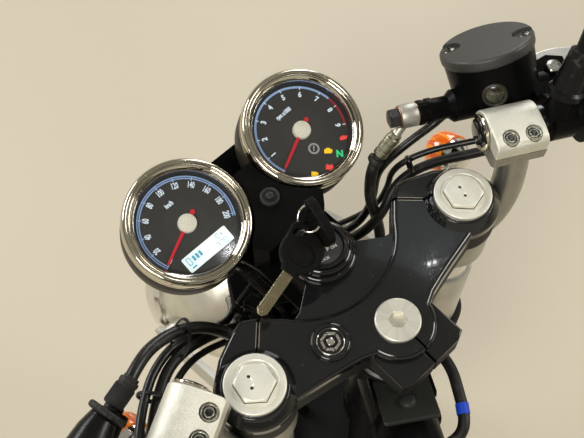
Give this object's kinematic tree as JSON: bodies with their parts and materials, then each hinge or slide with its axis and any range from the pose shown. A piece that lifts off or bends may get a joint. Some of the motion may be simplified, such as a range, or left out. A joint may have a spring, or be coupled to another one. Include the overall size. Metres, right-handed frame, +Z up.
{
  "type": "motorcycle cockpit and steering head assembly",
  "caption": "Cafe racer front end top: yokes on fork tubes with twin dials, ignition lock, clip-on bars, controls, headlamp, indicators and the frame's steering head.",
  "frame": {"origin": "middle of the cut end of the frame's backbone tube, behind the steering head", "axes": "+Z up along the steering axis, which leans back 24 degrees on the machine; +Y forward and +X to the rider's right as seen from the forks, which stand turned on their left stop, 34 degrees off the frame's own forward direction"},
  "size_m": [0.7755, 0.3354, 0.7426],
  "materials": {
    "yoke_black": "gloss",
    "frame_black": "gloss",
    "bearing_steel": "satin",
    "stem_steel": "satin",
    "stem_bolt": "turned, bright",
    "fork_chrome": "polished",
    "fork_cap": "satin",
    "shroud_silver": "gloss silver",
    "badge": "chrome ring on a black boss",
    "lock_black": "gloss",
    "lock_face": "satin",
    "key": "matt bow on a brassy steel blade",
    "ring_steel": "polished",
    "bracket_black": "matt powder coat",
    "gauge_cup": "satin dark grey",
    "gauge_bezel": "polished",
    "gauge_dial": "printed dial",
    "gauge_glass": "clear",
    "gauge_needle": "red with a silver hub",
    "button": "satin",
    "clip_on": "polished",
    "clamp_cap": "satin, fine sparkle",
    "bar_black": "gloss",
    "grip": "ribbed",
    "bar_end": "black anodised",
    "master_black": "satin",
    "reservoir_cap": "satin",
    "sight_glass": "dark fluid behind a clear disc",
    "banjo": "satin, black bolt",
    "lever": "satin silver",
    "switch_black": "fine grain",
    "hose": "satin",
    "lamp_shell": "gloss silver",
    "lamp_rim": "polished",
    "lamp_lens": "clear",
    "indicator_chrome": "polished",
    "indicator_amber": "amber, clear",
    "mirror_black": "satin",
    "mirror_glass": "silvered"
  },
  "bodies": {
    "frame_head": {"head_tube": "frame_black", "bearing_cups": "bearing_steel", "frame_backbone": "frame_black", "frame_down_tubes": "frame_black"},
    "steering": {"top_yoke": "yoke_black", "lower_yoke": "yoke_black", "steering_stem": "stem_steel", "stem_bolt": "stem_bolt", "fork_tube_left": "fork_chrome", "fork_tube_right": "fork_chrome", "fork_cap_left": "fork_cap", "fork_cap_right": "fork_cap", "fork_shroud_left": "shroud_silver", "fork_shroud_right": "shroud_silver", "yoke_badge": "badge", "lock_housing": "lock_black", "lock_barrel": "lock_face", "lock_key": "key", "spare_key": "key", "key_ring": "ring_steel", "instrument_bracket": "bracket_black", "gauge_cup_left": "gauge_cup", "gauge_cup_right": "gauge_cup", "gauge_bezels": "gauge_bezel", "gauge_dials": "gauge_dial", "gauge_glasses": "gauge_glass", "gauge_needles": "gauge_needle", "trip_button": "button", "clip_on_left": "clip_on", "clip_on_right": "clip_on", "clamp_cap_left": "clamp_cap", "clamp_cap_right": "clamp_cap", "handlebar_left": "bar_black", "handlebar_right": "bar_black", "grip_left": "grip", "grip_right": "grip", "bar_end_left": "bar_end", "bar_end_right": "bar_end", "master_cylinder": "master_black", "reservoir_cap": "reservoir_cap", "sight_glass": "sight_glass", "banjo_fitting": "banjo", "brake_lever": "lever", "clutch_perch": "master_black", "clutch_lever": "lever", "switch_housing_left": "switch_black", "switch_housing_right": "switch_black", "brake_hose": "hose", "clutch_cable": "hose", "wiring_left": "hose", "wiring_right": "hose", "headlamp_shell": "lamp_shell", "headlamp_rim": "lamp_rim", "headlamp_lens": "lamp_lens", "indicator_left": "indicator_chrome", "indicator_right": "indicator_chrome", "indicator_lenses": "indicator_amber", "mirror_left": "mirror_black", "mirror_right": "mirror_black", "mirror_glasses": "mirror_glass"}
  },
  "joints": [
    {"name": "steering", "type": "hinge", "parent": "frame_head", "child": "steering", "pos_m": [0.05033, 0.07461, 0], "axis": [0, 0, 1], "range_deg": [-68, 0]}
  ]
}
